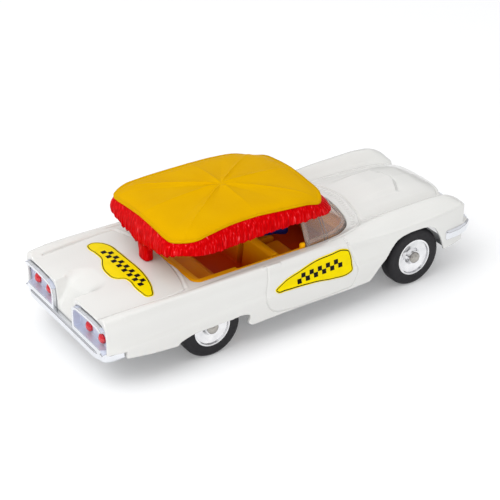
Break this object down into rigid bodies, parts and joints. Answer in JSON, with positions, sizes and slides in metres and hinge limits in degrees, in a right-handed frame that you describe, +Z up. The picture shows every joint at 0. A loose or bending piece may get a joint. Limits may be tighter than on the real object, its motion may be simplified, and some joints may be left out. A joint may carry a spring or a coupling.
{
  "type": "toy taxi",
  "caption": "Small die-cast open toy car used as a taxi, with a fringed canopy over the cabin, a moulded interior, plated bumpers and rubber-tyred wheels on sprung axles.",
  "frame": {"origin": "bottom centre of the bounding box, on the surface that the tyres stand on", "axes": "+X forward along the car, +Y to the car's left, +Z up"},
  "size_m": [0.1038, 0.041, 0.0319],
  "materials": {
    "white_paint": "warm white gloss enamel on a die casting",
    "base_metal": "plain pressed steel",
    "rivet_metal": "spun-over rivet",
    "spring_steel": "dark spring steel",
    "clear_screen": "clear moulded plastic",
    "interior_yellow": "satin moulded plastic",
    "steering_white": "moulded plastic",
    "driver_blue": "moulded plastic",
    "plating": "vacuum-plated plastic",
    "lamp_red": "red lens",
    "lamp_clear": "clear lens",
    "label_yellow": "self-adhesive paper label",
    "canopy_yellow": "satin moulded plastic with soft folds",
    "fringe_red": "slightly translucent moulded fringe",
    "axle_steel": "bright steel pin with spun ends",
    "tyre_rubber": "smooth black rubber",
    "hub_metal": "turned bright"
  },
  "bodies": {
    "root": {"body_casting": "white_paint", "baseplate": "base_metal", "base_rivet_front": "rivet_metal", "base_rivet_rear": "rivet_metal", "spring_rivets": "rivet_metal", "front_spring": "spring_steel", "rear_spring": "spring_steel", "windscreen": "clear_screen", "interior_tub": "interior_yellow", "steering_wheel": "steering_white", "driver_figure": "driver_blue", "rear_bumper_panel": "plating", "front_bumper": "plating", "front_grille": "plating", "tail_lamps_left": "lamp_red", "tail_lamps_right": "lamp_red", "headlamps_left": "lamp_clear", "headlamps_right": "lamp_clear", "door_label_left": "label_yellow", "door_label_right": "label_yellow", "boot_label": "label_yellow"},
    "front_axle_set": {"front_axle": "axle_steel"},
    "rear_axle_set": {"rear_axle": "axle_steel"},
    "wheel_front_left": {"tyre_front_left": "tyre_rubber", "wheel_hub_front_left": "hub_metal"},
    "wheel_front_right": {"tyre_front_right": "tyre_rubber", "wheel_hub_front_right": "hub_metal"},
    "wheel_rear_left": {"tyre_rear_left": "tyre_rubber", "wheel_hub_rear_left": "hub_metal"},
    "wheel_rear_right": {"tyre_rear_right": "tyre_rubber", "wheel_hub_rear_right": "hub_metal"},
    "canopy": {"canopy_top": "canopy_yellow", "canopy_fringe": "fringe_red"}
  },
  "joints": [
    {"name": "front_suspension", "type": "slide", "parent": "root", "child": "front_axle_set", "axis": [0, 0, 1], "range_m": [0, 0.001], "stiffness_N_per_m": 300, "springref_m": -0.004, "deforming": ["front_spring"]},
    {"name": "rear_suspension", "type": "slide", "parent": "root", "child": "rear_axle_set", "axis": [0, 0, 1], "range_m": [0, 0.001], "stiffness_N_per_m": 300, "springref_m": -0.004, "deforming": ["rear_spring"]},
    {"name": "wheel_front_left_spin", "type": "hinge", "parent": "front_axle_set", "child": "wheel_front_left", "pos_m": [0.033, 0, 0.00744], "axis": [0, 1, 0], "continuous": true},
    {"name": "wheel_front_right_spin", "type": "hinge", "parent": "front_axle_set", "child": "wheel_front_right", "pos_m": [0.033, 0, 0.00744], "axis": [0, 1, 0], "continuous": true},
    {"name": "wheel_rear_left_spin", "type": "hinge", "parent": "rear_axle_set", "child": "wheel_rear_left", "pos_m": [-0.024, 0, 0.00744], "axis": [0, 1, 0], "continuous": true},
    {"name": "wheel_rear_right_spin", "type": "hinge", "parent": "rear_axle_set", "child": "wheel_rear_right", "pos_m": [-0.024, 0, 0.00744], "axis": [0, 1, 0], "continuous": true},
    {"name": "canopy_lift", "type": "slide", "parent": "root", "child": "canopy", "axis": [0, 0, 1], "range_m": [0, 0.025]}
  ]
}
